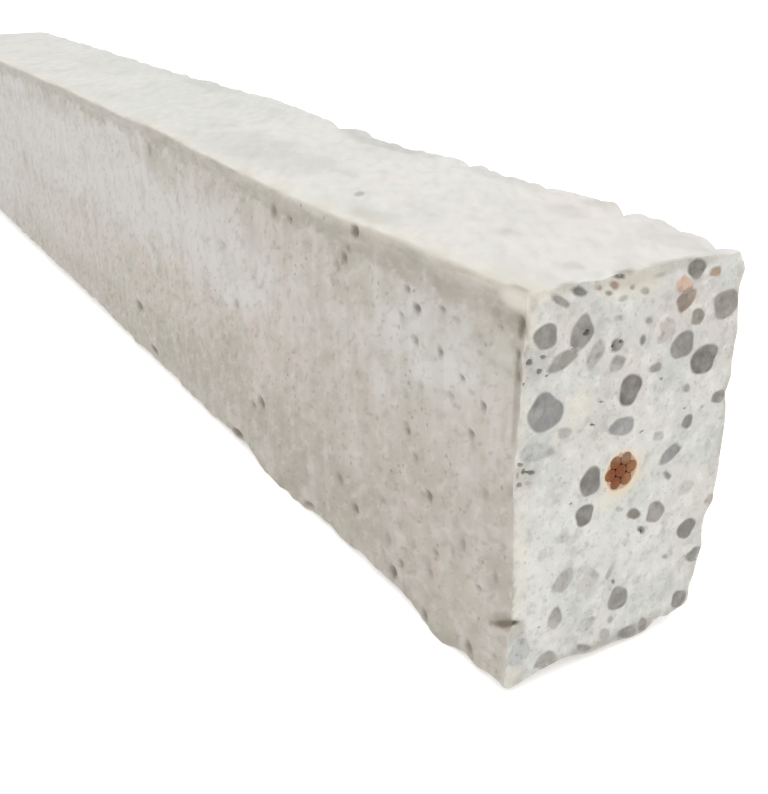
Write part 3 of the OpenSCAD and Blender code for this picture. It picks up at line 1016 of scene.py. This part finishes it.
WIRE_SIDES = 20
WIRE_STEP = 5
WIRE_RECESS = 0.25  # of the rusted ends behind the sawn face
WIRE_SLACK = 0.02  # by which the wires are thinner than their nodes
WIRE_DOME = ((0.85, 0.1), (0.45, 0.14))  # share of the radius and rise of its rings
WIRE_ROUGHNESS = 0.05  # of a cut end


def wire_mesh(name, paths, radius, chance):
    """Tubes with rough, slightly domed cut ends, one for each path of centre points."""
    points, faces = [], []
    for path in paths:
        # Each ring's centre, share of the radius, rise, and the way that it rises along X
        stretch = [(path[0], share, rise, 1) for share, rise in WIRE_DOME[::-1]]
        stretch += [(spot, 1, 0, 0) for spot in path]
        stretch += [(path[-1], share, rise, -1) for share, rise in WIRE_DOME]
        rings = np.array([
            [(x + way * (rise + chance.uniform(-WIRE_ROUGHNESS, WIRE_ROUGHNESS)),
              *polar(centre, radius * share, 2 * pi * k / WIRE_SIDES)) for k in range(WIRE_SIDES)]
            for (x, *centre), share, rise, way in stretch
        ])
        first = len(points)
        faces += tube(rings, first, False)[0]
        points += rings.reshape(-1, 3).tolist()
        faces.append(list(range(first, first + WIRE_SIDES)))
        faces.append(list(range(len(points) - WIRE_SIDES, len(points)))[::-1])
    return link_mesh(name, points, faces, SHARP_WIRE)


def build_strand():
    chance = random.Random(5)

    def wire_path(lay_radius, turn):
        recess = WIRE_RECESS + chance.uniform(-0.1, 0.1)
        stations = np.linspace(HIGH[0] - recess, LOW[0] + recess, round(LENGTH / WIRE_STEP) + 1)
        return [(x, *polar(STRAND, lay_radius, turn - 2 * pi * x / LAY_LENGTH)) for x in stations]

    rust = rust_material()
    king = wire_mesh("king_wire", [wire_path(0, 0)], KING_RADIUS - WIRE_SLACK, chance)
    laid = wire_mesh("laid_wires", [
        wire_path(LAY_RADIUS, 2 * pi * i / LAID_WIRES) for i in range(LAID_WIRES)
    ], LAID_RADIUS - WIRE_SLACK, chance)
    for piece, node in ((king, "strand_king_wire"), (laid, "strand_outer_wires")):
        piece.data.materials.append(rust)
        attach(piece, "root")
        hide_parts(node)


# ---- stage and camera

FLOOR_SIZE = 14
FLOOR_COLOUR = (0.93, 0.93, 0.92, 1)
FLOOR_GLOW = 0.3  # keeps the beam's shadow faint
LAMP_POWER = 9
LAMP_SIZE = 1.6
LAMP_PLACE = (0.9, -0.5, 1.5)
CAMERA_PLACE = (0.4509, -0.1538, 0.1653)
CAMERA_TURN = (149.15, 24.53, 0.38)  # heading from +X towards +Y, dip and roll
CAMERA_LENS = 47.24  # on the usual 36 mm sensor


def make_stage():
    half = FLOOR_SIZE / 2
    mesh = bpy.data.meshes.new("floor")
    corners = [(-half, -half, 0), (half, -half, 0), (half, half, 0), (-half, half, 0)]
    mesh.from_pydata(corners, [], [(0, 1, 2, 3)])
    floor = link("floor", mesh)
    paper = bpy.data.materials.new("floor_paper")
    paper.use_nodes = True
    surface = paper.node_tree.nodes["Principled BSDF"].inputs
    for name, value in (("Base Color", FLOOR_COLOUR), ("Roughness", 0.95), ("Specular IOR Level", 0.1),
                        ("Emission Color", (1, 1, 1, 1)), ("Emission Strength", FLOOR_GLOW)):
        surface[name].default_value = value
    mesh.materials.append(paper)

    world = bpy.data.worlds.new("studio")
    world.use_nodes = True
    world.node_tree.nodes["Background"].inputs["Color"].default_value = (1, 1, 1, 1)
    bpy.context.scene.world = world

    lamp = bpy.data.lights.new("soft_box", "AREA")
    lamp.shape = "DISK"
    lamp.size = LAMP_SIZE
    lamp.energy = LAMP_POWER
    soft_box = link("soft_box", lamp)
    soft_box.location = LAMP_PLACE
    soft_box.rotation_euler = (-Vector(LAMP_PLACE)).to_track_quat("-Z", "Y").to_euler()


def make_camera():
    heading, dip, roll = (radians(angle) for angle in CAMERA_TURN)
    ahead = Vector((cos(heading) * cos(dip), sin(heading) * cos(dip), -sin(dip)))
    data = bpy.data.cameras.new("camera")
    data.lens = CAMERA_LENS
    camera = link("camera", data)
    turn = ahead.to_track_quat("-Z", "Y").to_matrix().to_4x4() @ Matrix.Rotation(-roll, 4, "Z")
    camera.matrix_world = Matrix.Translation(CAMERA_PLACE) @ turn
    bpy.context.scene.camera = camera


build_beam()
build_strand()
make_stage()
make_camera()
bpy.context.scene.view_settings.view_transform = "Standard"
